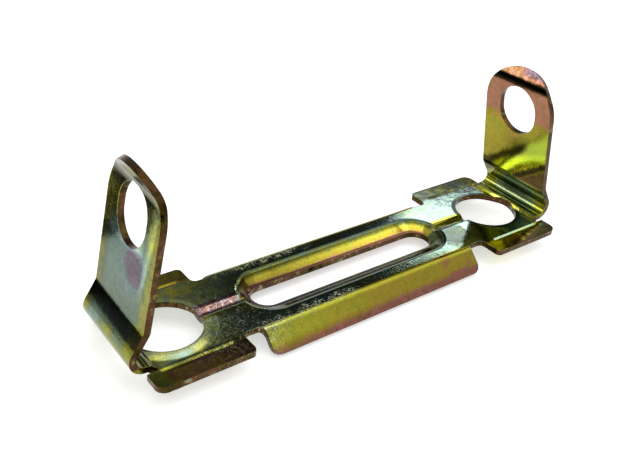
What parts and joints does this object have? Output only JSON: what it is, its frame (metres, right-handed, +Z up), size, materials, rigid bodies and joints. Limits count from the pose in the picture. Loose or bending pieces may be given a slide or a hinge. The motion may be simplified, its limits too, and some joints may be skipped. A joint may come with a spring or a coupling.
{
  "type": "capacitor bracket",
  "caption": "Folded sheet steel bracket that grips a cylindrical capacitor end to end between two holed spring ears, over a slotted base plate.",
  "frame": {"origin": "middle of the bracket's footprint, on the surface that its flanges stand on", "axes": "+X along the bracket from ear to ear, +Y across it, +Z up out of the base plate"},
  "size_m": [0.1, 0.0274, 0.037],
  "materials": {
    "yellow_zinc_sheet": "yellow iridescent zinc plating on sheet steel"
  },
  "bodies": {
    "root": {"capacitor_bracket": "yellow_zinc_sheet"}
  },
  "joints": []
}
